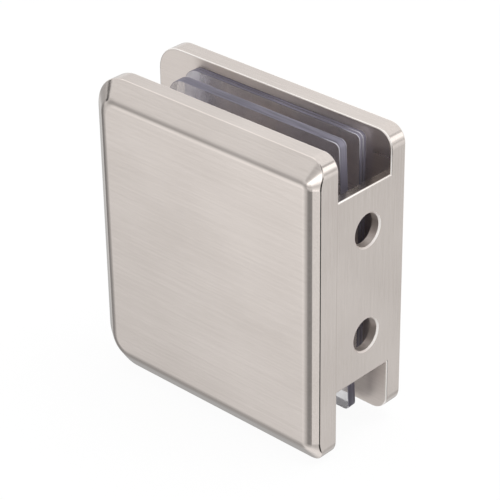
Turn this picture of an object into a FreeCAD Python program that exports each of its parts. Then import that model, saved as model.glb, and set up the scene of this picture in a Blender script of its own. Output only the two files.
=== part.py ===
"""Glass-to-wall U clamp: a slotted metal body with three loose clear gaskets in its slot.

Millimetres. The wall face is the plane x = 0 and the clamp reaches from it along -X.
Y runs across the slot with y = 0 at its middle, and the bevelled front plate is at -Y.
Z is up, with z = 0 at the middle of the web.
"""
import FreeCAD
import Part
import math
import os

V = FreeCAD.Vector

# Plates, seen from the front
front_width = 46.0          # free edge to wall face
back_reach = 1.1            # back plate past the front plate's free edge
web_height = 32.1
front_above_web = 7.45      # front plate over the web's top
front_below_web = 11.3      # front plate under the web's bottom
back_above_web = 6.65
back_below_web = 9.25
front_corner_free = 6.0     # corner radii, at the free edge and at the wall
front_corner_wall = 2.6
back_corner_free = 4.4
back_corner_wall = 2.8

# Section across the slot
slot_gap = 11.5
back_thickness = 3.2
web_thickness = 1.5
front_edge = 2.7            # flat edge of the front plate, behind its bevel

# Bevel round the front face
bevel_width = 3.1
bevel_depth = 2.3
bevel_trim = 1.5            # width that the bevel loses where the wall face cuts it
crease_radius = 2.5         # soft change from the flat face to the bevel

# Broken edges
edge_round = 0.25
rim_chamfer = 0.25

# Plain screw holes through the web, with a broken rim at the wall side
screw_hole_radius = 2.65
screw_spacing = 17.8
screw_offset = 0.75         # behind the slot's middle
drill_overrun = 1.0

# Clear gaskets
thin_thickness = 0.75
thin_width = 35.5
thin_height = 42.6
thin_corner = 3.0           # at the free edge
thick_thickness = 1.7
thick_width = 34.5
thick_height = 47.3
thick_corner = 3.4          # at the free edge
tight_corner = 1.0          # of all gaskets, beside the web
gasket_to_web = 3.2         # side clearance of all gaskets to the web
thin_top_drop = 1.4         # top of the thin gaskets under the back plate's top
thick_bottom_rise = 1.85    # lowest edge of the thick gasket over the front plate's bottom
thick_lean = 3.45           # degrees that the thick gasket leans to the front
thick_touch = 0.02          # clearance where the thick gasket meets the thin one

# Levels that follow
web_top = web_height / 2
web_bottom = -web_height / 2
front_top = web_top + front_above_web
front_bottom = web_bottom - front_below_web
back_top = web_top + back_above_web
back_bottom = web_bottom - back_below_web
slot_front = -slot_gap / 2
slot_back = slot_gap / 2
front_arris = slot_front - front_edge
front_face = front_arris - bevel_depth
back_face = slot_back + back_thickness
back_left = -front_width - back_reach


def rounded_wire(x0, x1, z0, z1, r_left, r_right, y):
    """Closed outline in the plane at y: a rectangle with its own radius at each side's corners."""
    q = math.sqrt(0.5)
    corners = [
        (V(x0 + r_left, y, z0 + r_left), r_left, (-1, 0), (-q, -q), (0, -1)),
        (V(x1 - r_right, y, z0 + r_right), r_right, (0, -1), (q, -q), (1, 0)),
        (V(x1 - r_right, y, z1 - r_right), r_right, (1, 0), (q, q), (0, 1)),
        (V(x0 + r_left, y, z1 - r_left), r_left, (0, 1), (-q, q), (-1, 0)),
    ]
    arcs = [[c + V(r * dx, 0, r * dz) for dx, dz in turns] for c, r, *turns in corners]
    edges = []
    for number, arc in enumerate(arcs):
        edges.append(Part.Arc(*arc).toShape())
        edges.append(Part.makeLine(arc[2], arcs[(number + 1) % 4][0]))
    return Part.Wire(edges)


def slab(x0, x1, z0, z1, r_left, r_right, y0, y1):
    """Plate with rounded corners from y0 to y1."""
    face = Part.Face(rounded_wire(x0, x1, z0, z1, r_left, r_right, y0))
    return face.extrude(V(0, y1 - y0, 0))


def box(x0, x1, y0, y1, z0, z1):
    return Part.makeBox(x1 - x0, y1 - y0, z1 - z0, V(x0, y0, z0))


def edges_at_y(shape, y):
    """Edges that lie in the plane at y."""
    def inside(edge):
        b = edge.BoundBox
        return abs(b.YMin - y) < 1e-4 and abs(b.YMax - y) < 1e-4
    return [edge for edge in shape.Edges if inside(edge)]


def front_plate():
    """Bevelled on all four sides, then cut by the wall plane, which narrows the bevel there."""
    left, right = -front_width, bevel_trim
    free, wall = front_corner_free, front_corner_wall + bevel_trim
    plate = slab(left, right, front_bottom, front_top, free, wall, front_arris, slot_front)
    outer = rounded_wire(left, right, front_bottom, front_top, free, wall, front_arris)
    b = bevel_width
    inner = rounded_wire(left + b, right - b, front_bottom + b, front_top - b, free - b, wall - b, front_face)
    plate = plate.fuse(Part.makeLoft([outer, inner], True, True)).removeSplitter()
    plate = plate.makeFillet(crease_radius, edges_at_y(plate, front_face))
    trim = slab(left, 0, front_bottom, front_top, free, front_corner_wall, front_face - 1, slot_front)
    return plate.common(trim)


def back_plate():
    return slab(back_left, 0, back_bottom, back_top, back_corner_free, back_corner_wall, slot_back, back_face)


def screw_hole(z):
    """Drill through the web with a chamfer at the wall side."""
    r = screw_hole_radius
    at = V(0, screw_offset, z)
    out = V(-1, 0, 0)
    drill = Part.makeCylinder(r, web_thickness + 2 * drill_overrun, at + V(drill_overrun, 0, 0), out)
    rim = Part.makeCone(r + rim_chamfer, r, rim_chamfer, at, out)
    return drill.fuse(rim)


def lies_on(edge, axis, *values):
    """True where the whole edge lies in a plane across the named axis at one of the values."""
    low = getattr(edge.BoundBox, axis + "Min")
    high = getattr(edge.BoundBox, axis + "Max")
    return any(abs(low - v) < 1e-3 and abs(high - v) < 1e-3 for v in values)


def arrises(body):
    """Outer edges that carry the small edge round. The slot's roots at the web stay sharp."""
    chosen = []
    for edge in body.Edges:
        rim = lies_on(edge, "Y", front_arris, slot_front, slot_back, back_face)
        web_end = lies_on(edge, "Z", web_bottom, web_top)
        web_root = lies_on(edge, "X", -web_thickness)
        web_arris = web_end and lies_on(edge, "X", 0)
        if web_arris or (rim and not web_end and not web_root):
            chosen.append(edge)
    return chosen


def clamp_body():
    web = box(-web_thickness, 0, slot_front, slot_back, web_bottom, web_top)
    body = front_plate().fuse([web, back_plate()]).removeSplitter()
    body = body.makeFillet(edge_round, arrises(body))
    holes = [screw_hole(z) for z in (-screw_spacing / 2, screw_spacing / 2)]
    return body.cut(holes)


def thin_gasket(y0):
    """Flat sheet from y0 to the rear, its side edge beside the web."""
    right = -web_thickness - gasket_to_web
    top = back_top - thin_top_drop
    left, bottom = right - thin_width, top - thin_height
    return slab(left, right, bottom, top, thin_corner, tight_corner, y0, y0 + thin_thickness)


def thick_gasket():
    """Single thicker sheet that stands in the slot and leans to the front plate."""
    right = -web_thickness - gasket_to_web
    left = right - thick_width
    sheet = slab(left, right, 0, thick_height, thick_corner, tight_corner, -thick_thickness, 0)
    sheet.rotate(V(0, 0, 0), V(1, 0, 0), thick_lean)
    rear = slot_back - 2 * thin_thickness - thick_touch
    sheet.translate(V(0, rear, front_bottom + thick_bottom_rise))
    return sheet


parts = {
    "clamp_body": clamp_body(),
    "thick_gasket": thick_gasket(),
    "thin_gasket_front": thin_gasket(slot_back - 2 * thin_thickness),
    "thin_gasket_rear": thin_gasket(slot_back - thin_thickness),
}

os.makedirs("parts", exist_ok=True)
for name, shape in parts.items():
    shape.exportStep("parts/" + name + ".step")
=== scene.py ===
"""Glass-to-wall U clamp in brushed nickel, with three loose clear vinyl gaskets in its slot.

Metres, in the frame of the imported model: the wall face is x = 0, the bevelled front plate is at -Y, Z is up.
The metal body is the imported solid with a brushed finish. The gaskets are modelled here.
"""
import math

import bpy
import numpy as np
from mathutils import Matrix, Vector


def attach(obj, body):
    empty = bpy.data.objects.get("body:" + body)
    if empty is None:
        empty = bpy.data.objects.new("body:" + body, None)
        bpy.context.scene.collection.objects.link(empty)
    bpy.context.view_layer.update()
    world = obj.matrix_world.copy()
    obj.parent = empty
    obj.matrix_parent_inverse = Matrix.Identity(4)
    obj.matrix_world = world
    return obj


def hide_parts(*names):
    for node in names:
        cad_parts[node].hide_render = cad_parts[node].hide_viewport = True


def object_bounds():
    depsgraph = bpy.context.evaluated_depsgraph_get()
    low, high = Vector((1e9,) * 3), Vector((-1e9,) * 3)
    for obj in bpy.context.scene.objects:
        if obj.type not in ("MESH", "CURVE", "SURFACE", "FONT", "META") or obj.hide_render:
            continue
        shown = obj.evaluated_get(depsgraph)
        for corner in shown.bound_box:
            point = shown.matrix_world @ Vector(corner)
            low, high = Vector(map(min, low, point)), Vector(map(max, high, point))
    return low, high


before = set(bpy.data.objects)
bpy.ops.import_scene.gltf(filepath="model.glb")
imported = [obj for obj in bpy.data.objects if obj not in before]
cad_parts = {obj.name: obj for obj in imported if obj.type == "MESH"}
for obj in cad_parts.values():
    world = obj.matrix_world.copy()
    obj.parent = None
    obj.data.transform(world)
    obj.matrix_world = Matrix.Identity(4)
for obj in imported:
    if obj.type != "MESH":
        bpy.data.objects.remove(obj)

cad_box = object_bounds()
MM = 0.001

# Clamp levels that the finish refers to, in mm
SLOT_HALF = 5.75
WEB_HALF = 16.05
TOOL_MARK_Y = -6.0          # upright mark on the wall face, where the web meets the front plate
HOLE_Y, HOLE_Z, HOLE_RADIUS = 0.75, 8.9, 2.65
ARRIS_MIDDLE = 0.12         # from a face to the middle of its rounded edge

# Colours of the metal
NICKEL_DARK = (0.665, 0.604, 0.564, 1.0)
NICKEL_LIGHT = (0.795, 0.730, 0.688, 1.0)
# painted shade for the web's top and bottom faces
WEB_END_SHADE = (0.12, 0.108, 0.10, 1.0)
# painted highlight for some edges
EDGE_HIGHLIGHT_PAINT = (0.95, 0.92, 0.89, 1.0)

# Colours of the vinyl, and how milky the faces are
FACE_CLEAR = (0.44, 0.42, 0.48, 1.0)
FACE_HAZY = (0.88, 0.86, 0.92, 1.0)
CUT_DARK = (0.045, 0.041, 0.060, 1.0)
CUT_LIGHT = (0.145, 0.134, 0.178, 1.0)
# painted light on the upright cut edges
CUT_SIDE_LIT = (0.30, 0.285, 0.35, 1.0)
# painted glint where the arrises turn the tight corners
CORNER_GLINT_PAINT = (0.75, 0.74, 0.80, 1.0)
# painted shade on the thin sheets' arrises, painted sheen on the thick sheet's
THIN_ARRIS_SHADE = (0.05, 0.048, 0.066, 1.0)
THICK_ARRIS_SHEEN = (0.26, 0.255, 0.31, 1.0)
THIN_MILK, THICK_MILK = 0.075, 0.13
VINYL_IOR = 1.53

# Gaskets, in mm: middle and size of each flat sheet, corner radii at its free side and beside the web,
# and the radius of its worn arris
SKIN = 0.02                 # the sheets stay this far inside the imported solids
THIN_FRONT = dict(middle=(-22.45, 4.625, 0.0), size=(35.5, 0.75, 42.6), corners=(3.0, 1.0), worn=0.1)
THIN_REAR = dict(middle=(-22.45, 5.375, 0.0), size=(35.5, 0.75, 42.6), corners=(3.0, 1.0), worn=0.1)
THICK = dict(middle=(-21.95, -0.85, 23.65), size=(34.5, 1.7, 47.3), corners=(3.4, 1.0), worn=0.14)
THICK_LEAN = math.radians(3.45)
THICK_FOOT = (0.0, 4.23, -25.5)     # where the lower rear edge stands
FACE_RINGS, ARRIS_STEPS = 12, 5     # rows over each face and over each worn arris
SIDE_STEPS, CORNER_STEPS = 12, 9    # columns along each side and round each corner

# Studio
FLOOR_HALF = 3.0            # in metres
FLOOR_WHITE = 0.94          # share of plain white in what the camera sees of the floor
HORIZON_DIM = 0.56          # how much the band at the horizon takes away

# Camera, in mm, from the edges of the photograph: the point that it aims at, its direction and distance from
# there, the steps that put the clamp beside the picture's middle, and focal length over picture width
AIM = (-23.0, 0.0, -1.925)
AZIMUTH, ELEVATION, ROLL = math.radians(43.440), math.radians(30.170), math.radians(-0.840)
DISTANCE = 323.271
SIDE_STEP, UP_STEP = -0.218, 0.844
FOCAL_SHARE = 2117.145 / 500


# Shader writing

class Value:
    """A number or colour inside a node tree. Python's operators on numbers add Math nodes."""

    def __init__(self, tree, socket):
        self.tree, self.socket = tree, socket

    def math(self, operation, *others):
        return self.tree.node("Math", dict(operation=operation), dict(enumerate([self, *others])))

    def reflected(self, operation, other):
        return self.tree.node("Math", dict(operation=operation), {0: other, 1: self})

    def __add__(self, other):
        return self.math("ADD", other)

    def __radd__(self, other):
        return self.math("ADD", other)

    def __sub__(self, other):
        return self.math("SUBTRACT", other)

    def __rsub__(self, other):
        return self.reflected("SUBTRACT", other)

    def __mul__(self, other):
        return self.math("MULTIPLY", other)

    def __rmul__(self, other):
        return self.math("MULTIPLY", other)

    def __abs__(self):
        return self.math("ABSOLUTE")

    def sign(self):
        return self.math("SIGN")

    def at_least(self, other):
        return self.math("MAXIMUM", other)

    def rise(self, low, high, start=0.0, end=1.0):
        """Soft step from start to end while the number goes from low to high."""
        settings = dict(interpolation_type="SMOOTHSTEP")
        return self.tree.node("MapRange", settings, {0: self, 1: low, 2: high, 3: start, 4: end})

    def fall(self, low, high):
        """Soft step from 1 to 0 while the number goes from low to high."""
        return self.rise(low, high, 1.0, 0.0)


class Tree:
    """Node tree of a material or of the world."""

    def __init__(self, owner):
        owner.use_nodes = True
        self.nodes, self.links = owner.node_tree.nodes, owner.node_tree.links
        self.nodes.clear()

    def node(self, kind, settings=None, inputs=None, output=0):
        """Adds a node, sets it up, fills or links its sockets, and returns one output."""
        made = self.nodes.new("ShaderNode" + kind)
        for name, value in (settings or {}).items():
            setattr(made, name, value)
        for name, value in (inputs or {}).items():
            if isinstance(value, Value):
                self.links.new(value.socket, made.inputs[name])
            else:
                made.inputs[name].default_value = value
        return Value(self, made.outputs[output]) if len(made.outputs) else made

    def mix(self, share, a, b):
        """Colour a where share is 0 and colour b where it is 1."""
        return self.node("Mix", dict(data_type="RGBA"), {0: share, 6: a, 7: b}, output=2)

    def parts(self, vector):
        return [self.node("SeparateXYZ", None, {0: vector}, output=axis) for axis in range(3)]

    def position(self):
        """Object coordinates in mm."""
        place = self.node("TexCoord", output="Object")
        return self.node("VectorMath", dict(operation="SCALE"), {0: place, "Scale": 1 / MM})

    def looked_at(self):
        """1 for what the camera sees, also through a transmitting surface, and 0 for other rays."""
        seen = self.node("LightPath", output="Is Camera Ray")
        return seen.at_least(self.node("LightPath", output="Is Transmission Ray"))

    def attribute(self, name):
        """Number that a mesh holds at each point."""
        return self.node("Attribute", dict(attribute_name=name), output="Fac")

    def stretched(self, vector, scale):
        return self.node("VectorMath", dict(operation="MULTIPLY"), {0: vector, 1: scale})

    def normal(self):
        return self.parts(self.node("NewGeometry", output="Normal"))

    def noise(self, vector, scale=1.0, detail=2.0, roughness=0.5):
        settings = {"Vector": vector, "Scale": scale, "Detail": detail, "Roughness": roughness}
        return self.node("TexNoise", None, settings)


def new_material(name):
    material = bpy.data.materials.new(name)
    return material, Tree(material)


# Finishes

def grain(t, place, to_wall):
    """Coarse lines, hairlines and a soft cloud. The lines run along X, and upright on the wall face."""
    along = t.noise(t.stretched(place, (0.09, 3.4, 3.4)), detail=3.0, roughness=0.6)
    upright = t.noise(t.stretched(place, (3.4, 3.4, 0.09)), detail=3.0, roughness=0.6)
    lines = along + (upright - along) * to_wall
    fine_along = t.noise(t.stretched(place, (0.5, 12.0, 12.0)), roughness=0.55)
    fine_upright = t.noise(t.stretched(place, (12.0, 12.0, 0.5)), roughness=0.55)
    hair = fine_along + (fine_upright - fine_along) * to_wall
    cloud = t.noise(t.stretched(place, (0.05, 0.08, 0.08)))
    return lines, hair, cloud


def tool_mark(y, z, normal_x):
    """Thin upright line on the wall face, as tall as the web."""
    line = abs(y - TOOL_MARK_Y).fall(0.03, 0.09)
    return line * normal_x.rise(0.9, 0.95) * abs(z).fall(WEB_HALF - 0.3, WEB_HALF)


def painted_edge_highlights(y, z, normal_x, normal_z, from_hole):
    """Painted highlights on edges: the back plate's at the slot, the web's upper one, and the holes' rims on
    one side.
    """
    to_side = normal_x.rise(0.2, 0.45) * normal_x.fall(0.9, 0.98)
    to_top = normal_z.rise(0.2, 0.45) * normal_z.fall(0.9, 0.98)
    on_plate = abs(y - SLOT_HALF - ARRIS_MIDDLE).fall(0.13, 0.18)
    on_web = abs(z - WEB_HALF + ARRIS_MIDDLE).fall(0.13, 0.18) * abs(y).fall(SLOT_HALF - 0.05, SLOT_HALF)
    on_web = on_web * y.rise(-SLOT_HALF, SLOT_HALF, 0.9, 0.4)
    over_hole = z - z.sign() * HOLE_Z
    on_rim = from_hole.fall((HOLE_RADIUS + 0.3) ** 2, (HOLE_RADIUS + 0.34) ** 2)
    on_rim = on_rim * (y - HOLE_Y).rise(-0.5, 2.2, 0.0, 0.8) * over_hole.rise(0.3, 2.3, 1.0, 0.4)
    on_side = (on_plate * z.rise(17.0, 21.0, 0.8, 0.4)).at_least(on_web).at_least(on_rim)
    return (to_side * on_side).at_least(to_top * on_plate * 0.6)


def brushed_nickel():
    """Warm satin nickel with brush lines. The web's ends carry painted shade, the holes' bores and the slot's
    walls are duller than the outside, and some edges carry painted highlights."""
    material, t = new_material("brushed_nickel")
    place = t.position()
    x, y, z = t.parts(place)
    normal_x, _, normal_z = t.normal()
    lines, hair, cloud = grain(t, place, abs(normal_x).rise(0.55, 0.8))

    inside = abs(y).fall(SLOT_HALF + 0.02, SLOT_HALF + 0.15) * x.fall(-0.32, -0.12)
    # painted shade on the web's top and bottom faces in the slot, which are also made a little smoother
    shaded_web_end = inside * abs(normal_z).rise(0.9, 0.97) * abs(z).rise(WEB_HALF - 0.1, WEB_HALF - 0.02)
    from_hole = (y - HOLE_Y) * (y - HOLE_Y) + (abs(z) - HOLE_Z) * (abs(z) - HOLE_Z)
    bore = from_hole.fall((HOLE_RADIUS + 0.24) ** 2, (HOLE_RADIUS + 0.28) ** 2)
    lip = inside * z.rise(19.0, 20.8) * x.rise(-40.0, -34.0)
    # painted highlights on some edges; there the metal is mostly turned off and the surface made rougher
    edge_highlight = painted_edge_highlights(y, z, normal_x, normal_z, from_hole)

    tone = (lines - 0.5) * 0.6 + (hair - 0.5) * 0.5 + (cloud - 0.5) * 0.8 + 0.5
    tone = (tone - tool_mark(y, z, normal_x) * 0.5).rise(0.0, 1.0)
    colour = t.mix(tone, NICKEL_DARK, NICKEL_LIGHT)
    # painted shade mixed into the web's ends
    colour = t.mix(shaded_web_end * 0.75, colour, WEB_END_SHADE)
    # painted highlights mixed into the edges' colour
    colour = t.mix(edge_highlight, colour, EDGE_HIGHLIGHT_PAINT)
    rough = 0.15 + (lines - 0.5) * 0.08 + (cloud - 0.5) * 0.03
    rough = rough + inside * z.rise(-19.0, -14.0, 0.32, 0.14) - shaded_web_end * 0.1 + bore * 0.25
    rough = rough + lip * x.rise(-36.0, -8.0, 0.6, 0.1) + edge_highlight * 0.3
    bump = t.node("Bump", None, {"Strength": 0.12, "Distance": 0.00002, "Height": lines + hair * 0.6})
    nickel = t.node("BsdfPrincipled", None, {
        "Base Color": colour, "Metallic": 1.0 - edge_highlight * 0.9, "Roughness": rough, "Normal": bump})
    t.node("OutputMaterial", None, {"Surface": nickel})
    return material


def vinyl_face(t, place, milk):
    """Clear vinyl with a trace of milk, more of it at the foot, and hazy smears towards its free side."""
    x, _, z = t.parts(place)
    ripple = t.noise(place, 0.35)
    bump = t.node("Bump", None, {"Strength": 0.3, "Distance": 0.0001, "Height": ripple})
    smear = t.noise(t.stretched(place, (0.25, 0.25, 0.12)), detail=3.0, roughness=0.6)
    haze = x.fall(-38.5, -31.5) * smear.rise(0.35, 0.65, 0.4, 1.0)
    colour = t.mix(haze, FACE_CLEAR, FACE_HAZY)
    alpha = milk * smear.rise(0.3, 0.7, 0.5, 1.6) * z.rise(-20.0, -12.0, 1.5, 1.0) + haze * 0.34
    return t.node("BsdfPrincipled", None, {
        "Base Color": colour, "Roughness": 0.12, "IOR": VINYL_IOR, "Alpha": alpha, "Normal": bump})


def vinyl_edge(t, place, painted_arris_shading):
    """Frosted lavender die-cut edge with fine cut lines along it, with painted light on its upright sides. Its
    arrises carry painted shade on thin sheets and painted sheen on the thick one, and painted glints at the
    tight corners."""
    x, _, z = t.parts(place)
    arris, across, corner = t.attribute("arris"), t.attribute("across"), t.attribute("tight")
    along = t.node("CombineXYZ", None, {0: x * 0.1, 1: across * 4.0, 2: z * 0.1})
    cut = t.noise(along, detail=3.0, roughness=0.65)
    # painted light: the upright cut edges are made lighter, above the foot
    side = abs(t.normal()[0]) * z.rise(-22.0, -12.0)
    tint = t.mix(cut.rise(0.3, 0.7), CUT_DARK, CUT_LIGHT)
    tint = t.mix(side * 0.5, tint, CUT_SIDE_LIT)
    # painted shade on thin arrises, painted sheen on thick ones
    tint = t.mix(arris * 0.6, tint, painted_arris_shading)
    # painted glints where the arrises turn the tight corners
    tint = t.mix(arris * corner, tint, CORNER_GLINT_PAINT)
    return t.node("BsdfPrincipled", None, {"Base Color": tint, "Roughness": 0.35, "IOR": VINYL_IOR})


def clear_vinyl(name, milk, painted_arris_shading):
    """Clear faces and a frosted edge. From within the sheet its edge is clearer, and less so at the foot."""
    material, t = new_material(name)
    place = t.position()
    z = t.parts(place)[2]
    within = t.node("NewGeometry", output="Backfacing")
    clearing = within * z.rise(-22.0, -10.0, 0.3, 0.72)
    share = t.attribute("cut_edge") * (1.0 - clearing)
    both = t.node("MixShader", None, {
        0: share, 1: vinyl_face(t, place, milk), 2: vinyl_edge(t, place, painted_arris_shading)})
    t.node("OutputMaterial", None, {"Surface": both})
    return material


# Gaskets

def outline(turn, width, height, free, tight):
    """Centre, radius and direction of a rectangle's round corners, for turn from 0 to 8. Over even steps
    the centre and the radius pass from one corner to the next, and over odd ones the direction turns by
    90 degrees."""
    steps = np.arange(9)
    right, left = width / 2 - tight, free - width / 2
    low, high = height / 2 - tight, height / 2 - free
    centre_x = np.interp(turn, steps, [right, right, right, left, left, left, left, right, right])
    centre_z = np.interp(turn, steps, [-low, low, low, high, high, -high, -high, -low, -low])
    radius = np.interp(turn, steps, [tight, tight, tight, free, free, free, free, tight, tight])
    angle = np.interp(turn, steps, [0, 0, 1, 1, 2, 2, 3, 3, 4]) * (math.pi / 2)
    return centre_x, centre_z, radius, np.cos(angle), np.sin(angle)


def section(half, worn):
    """Rows of a sheet's surface, from the middle of the front out to the rim, over a quarter circle of the
    worn radius, across the edge, over a second one and back in to the middle of the rear. A row has a share
    of the outline, an inset from it and a depth, and says how much of it is cut edge and worn arris."""
    face = FACE_RINGS + 1
    rings = np.linspace(0.1, 0.98, FACE_RINGS)
    quarter = np.linspace(0, math.pi / 2, ARRIS_STEPS)
    inner = np.full(face, worn * 2.2)
    share = np.concatenate([rings, np.ones(2 * ARRIS_STEPS + 2), rings[::-1]])
    inset = np.concatenate([inner, worn - worn * np.sin(quarter), worn - worn * np.cos(quarter), inner])
    depth = np.concatenate([
        np.full(face, -half), worn - half - worn * np.cos(quarter),
        half - worn + worn * np.sin(quarter), np.full(face, half)])
    plain = np.zeros(face)
    edge = np.concatenate([plain, [0, 0.5, 1, 1, 1, 1, 1, 1, 0.5, 0], plain])
    arris = np.concatenate([plain, [0.4, 1, 1, 0.6, 0, 0, 0.6, 1, 1, 0.4], plain])
    return share, inset, depth, edge, arris


def sheet_faces(rows, columns):
    """Quads between neighbouring rows and columns, and a fan round each middle. All face outward."""
    i, j = np.meshgrid(np.arange(rows - 1), np.arange(columns), indexing="ij")
    k = (j + 1) % columns
    here, below = i * columns, (i + 1) * columns
    quads = np.stack([here + j, below + j, below + k, here + k], axis=2)
    around = np.arange(columns)
    after = (around + 1) % columns
    front, rear = rows * columns, rows * columns + 1
    last = (rows - 1) * columns
    fans = np.concatenate([
        np.stack([np.full(columns, front), around, after], axis=1),
        np.stack([np.full(columns, rear), last + after, last + around], axis=1)])
    return quads.reshape(-1, 4).tolist() + fans.tolist()


def leaned(points, lean):
    """Turns points about X."""
    x, y, z = points.T
    c, s = math.cos(lean), math.sin(lean)
    return np.stack([x, y * c - z * s, y * s + z * c], axis=1)


def gasket(name, middle, size, corners, worn, lean=0.0, foot=(0.0, 0.0, 0.0)):
    """Flat closed sheet over (row, turn). A point is the outline less the row's inset, times the row's
    share, at the row's depth. A lean turns the sheet about X before it stands on its foot."""
    half = size[1] / 2 - SKIN
    share, inset, depth, edge, arris = section(half, worn)
    steps = (SIDE_STEPS, CORNER_STEPS) * 4
    turn = np.concatenate([np.linspace(k, k + 1, n, endpoint=False) for k, n in enumerate(steps)])
    rows, columns = len(share), len(turn)
    centre_x, centre_z, radius, toward_x, toward_z = outline(turn, size[0], size[2], *corners)
    radius = radius - SKIN - inset[:, None]
    px = (centre_x + radius * toward_x) * share[:, None]
    pz = (centre_z + radius * toward_z) * share[:, None]
    py = np.broadcast_to(depth[:, None], px.shape)
    points = np.stack([px, py, pz], axis=2).reshape(-1, 3)
    poles = np.array([[0.0, -half, 0.0], [0.0, half, 0.0]])
    points = np.concatenate([points, poles]) + np.array(middle)
    points = (leaned(points, lean) + np.array(foot)) * MM

    mesh = bpy.data.meshes.new(name)
    mesh.from_pydata(points, [], sheet_faces(rows, columns))
    mesh.validate()
    mesh.update()
    mesh.polygons.foreach_set("use_smooth", np.ones(len(mesh.polygons), bool))
    at_tight = ((turn >= 1.0) & (turn <= 2.0)) | (turn >= 7.0)
    facts = {
        "cut_edge": np.repeat(edge, columns),
        "arris": np.repeat(arris, columns),
        "across": np.repeat(depth, columns),
        "tight": np.tile(np.where(at_tight, 1.0, 0.0), rows),
    }
    for label, values in facts.items():
        attribute = mesh.attributes.new(label, "FLOAT", "POINT")
        attribute.data.foreach_set("value", np.append(values, (0.0, 0.0)))
    made = bpy.data.objects.new(name, mesh)
    bpy.context.scene.collection.objects.link(made)
    return made


# Studio

def toward(x, y, z):
    return tuple(Vector((x, y, z)).normalized())


# Dark flags and bright panels round the set: direction, inner and outer angle in degrees, change of level
PANELS = [
    (toward(-0.703, -0.244, -0.667), 8, 34, -0.35),
    (toward(-0.373, -0.894, -0.245), 5, 30, 0.28),
    (toward(-0.594, -0.663, 0.455), 10, 40, -0.16),
    (toward(-0.832, 0.433, 0.346), 6, 26, -0.20),
    (toward(-0.70, 0.63, -0.33), 5, 25, -0.25),
    (toward(-0.773, 0.387, -0.503), 4, 16, -0.20),
    (toward(-0.594, 0.30, -0.747), 4, 20, -0.35),
    (toward(-0.45, 0.40, -0.80), 8, 35, -0.30),
    (toward(0.386, 0.785, -0.486), 8, 24, -0.29),
    (toward(0.22, -0.82, -0.503), 0, 20, -0.45),
    (toward(0.12, -0.85, -0.503), 0, 44, -0.50),
    (toward(0.58, -0.64, -0.503), 9, 17, 0.98),
    (toward(0.36, -0.93, 0.03), 22, 29, 1.1),
    (toward(-0.10, -0.87, 0.49), 4, 16, -0.35),
    (toward(0.86, -0.06, -0.50), 30, 40, -0.96),
    (toward(-0.85, -0.153, -0.503), 2, 24, -0.52),
    (toward(-0.965, -0.25, 0.03), 3, 9, -0.95),
    (toward(-0.594, -0.208, -0.778), 3, 20, -0.35),
    (toward(0.55, -0.23, 0.80), 10, 25, -0.80),
    (toward(0.55, 0.63, 0.55), 2, 7, -0.6),
    (toward(0.71, 0.63, 0.31), 8, 13, 0.55),
    (toward(0.775, 0.63, -0.08), 3, 9, -0.35),
    (toward(-0.50, 0.86, 0.05), 6, 14, 0.8),
    (toward(-0.04, 0.863, -0.503), 8, 24, 0.5),
    (toward(0.05, 0.63, -0.78), 12, 32, -0.35),
    (toward(-0.594, -0.14, 0.79), 10, 28, 0.28),
    (toward(-0.965, 0.03, -0.25), 9, 21, -0.52),
]


def studio_world():
    """White room with a dim band at the horizon of the camera's side, dark flags and bright panels.
    The camera gets plain white."""
    world = bpy.data.worlds.new("studio")
    bpy.context.scene.world = world
    t = Tree(world)
    ray = t.node("TexCoord", output="Generated")
    _, y, z = t.parts(ray)
    band = abs(z + 0.03).fall(0.0, 0.40) * (y * -1.0).rise(0.1, 0.6)
    level = 1.0 - band * HORIZON_DIM
    for aim, inner, outer, change in PANELS:
        facing = t.node("VectorMath", dict(operation="DOT_PRODUCT"), {0: ray, 1: aim}, output="Value")
        spot = facing.rise(math.cos(math.radians(outer)), math.cos(math.radians(inner)))
        level = level * (1.0 + spot * change)
    strength = level + (1.0 - level) * t.looked_at()
    light = t.node("Background", None, {"Color": (1.0, 1.0, 1.0, 1.0), "Strength": strength})
    t.node("OutputWorld", None, {"Surface": light})


def floor():
    """Pale floor under the clamp. The camera sees it as white with the clamp's soft shadow."""
    low = cad_box[0][2]
    r = FLOOR_HALF
    mesh = bpy.data.meshes.new("floor")
    mesh.from_pydata([(-r, -r, low), (r, -r, low), (r, r, low), (-r, r, low)], [], [(0, 1, 2, 3)])
    made = bpy.data.objects.new("floor", mesh)
    bpy.context.scene.collection.objects.link(made)
    made.visible_glossy = False
    material, t = new_material("white_floor")
    paint = t.node("BsdfDiffuse", None, {"Color": (0.9, 0.9, 0.9, 1.0)})
    white = t.node("Emission", None, {"Color": (1.0, 1.0, 1.0, 1.0), "Strength": 1.0})
    top = t.node("MixShader", None, {0: t.looked_at() * FLOOR_WHITE, 1: paint, 2: white})
    below = t.node("NewGeometry", output="Backfacing")
    clear = t.node("BsdfTransparent")
    both = t.node("MixShader", None, {0: below, 1: top, 2: clear})
    t.node("OutputMaterial", None, {"Surface": both})
    mesh.materials.append(material)


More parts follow.
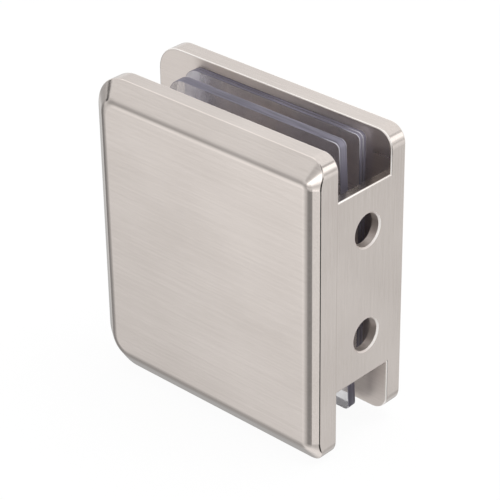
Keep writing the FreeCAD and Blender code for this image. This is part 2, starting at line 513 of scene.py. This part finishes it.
def softbox(name, place, aim, side, power):
    """Square lamp that the metal doesn't mirror."""
    lamp = bpy.data.lights.new(name, "AREA")
    lamp.size, lamp.energy = side, power
    made = bpy.data.objects.new(name, lamp)
    made.location = place
    made.rotation_euler = (Vector(aim) - Vector(place)).to_track_quat("-Z", "Y").to_euler()
    made.visible_glossy = False
    bpy.context.scene.collection.objects.link(made)


def camera():
    """Stands back from the aim point at its azimuth and elevation, and is rolled about that line."""
    level = Vector((math.cos(AZIMUTH), math.sin(AZIMUTH), 0.0))
    flat = Vector((math.sin(AZIMUTH), -math.cos(AZIMUTH), 0.0))
    back = flat * math.cos(ELEVATION) + Vector((0.0, 0.0, math.sin(ELEVATION)))
    upright = back.cross(level)
    right = level * math.cos(ROLL) + upright * math.sin(ROLL)
    up = upright * math.cos(ROLL) - level * math.sin(ROLL)
    centre = (Vector(AIM) + back * DISTANCE - right * SIDE_STEP - up * UP_STEP) * MM
    lens = bpy.data.cameras.new("camera")
    lens.sensor_width = 36.0
    lens.lens = FOCAL_SHARE * lens.sensor_width
    lens.clip_start, lens.clip_end = 0.01, 20.0
    made = bpy.data.objects.new("camera", lens)
    made.matrix_world = Matrix.Translation(centre) @ Matrix((right, up, back)).transposed().to_4x4()
    bpy.context.scene.collection.objects.link(made)
    bpy.context.scene.camera = made


# Clamp body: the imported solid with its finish
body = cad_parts["clamp_body"]
body.data.materials.clear()
body.data.materials.append(brushed_nickel())

# Gaskets in place of the plain solids
thin_vinyl = clear_vinyl("thin_clear_vinyl", THIN_MILK, THIN_ARRIS_SHADE)
thick_vinyl = clear_vinyl("thick_clear_vinyl", THICK_MILK, THICK_ARRIS_SHEEN)
for node, vinyl, facts in (
    ("thin_gasket_front", thin_vinyl, THIN_FRONT),
    ("thin_gasket_rear", thin_vinyl, THIN_REAR),
    ("thick_gasket", thick_vinyl, dict(THICK, lean=THICK_LEAN, foot=THICK_FOOT)),
):
    sheet = gasket(node + "_sheet", **facts)
    sheet.data.materials.append(vinyl)
    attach(sheet, "root")
    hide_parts(node)

studio_world()
floor()
softbox("overhead_softbox", place=(0.15, 0.2, 0.75), aim=(-0.024, 0.0, 0.0), side=0.5, power=3.0)
camera()
bpy.context.scene.view_settings.view_transform = "Standard"

# A ray in the slot crosses the three clear sheets again and again
bpy.context.scene.cycles.transparent_max_bounces = 32
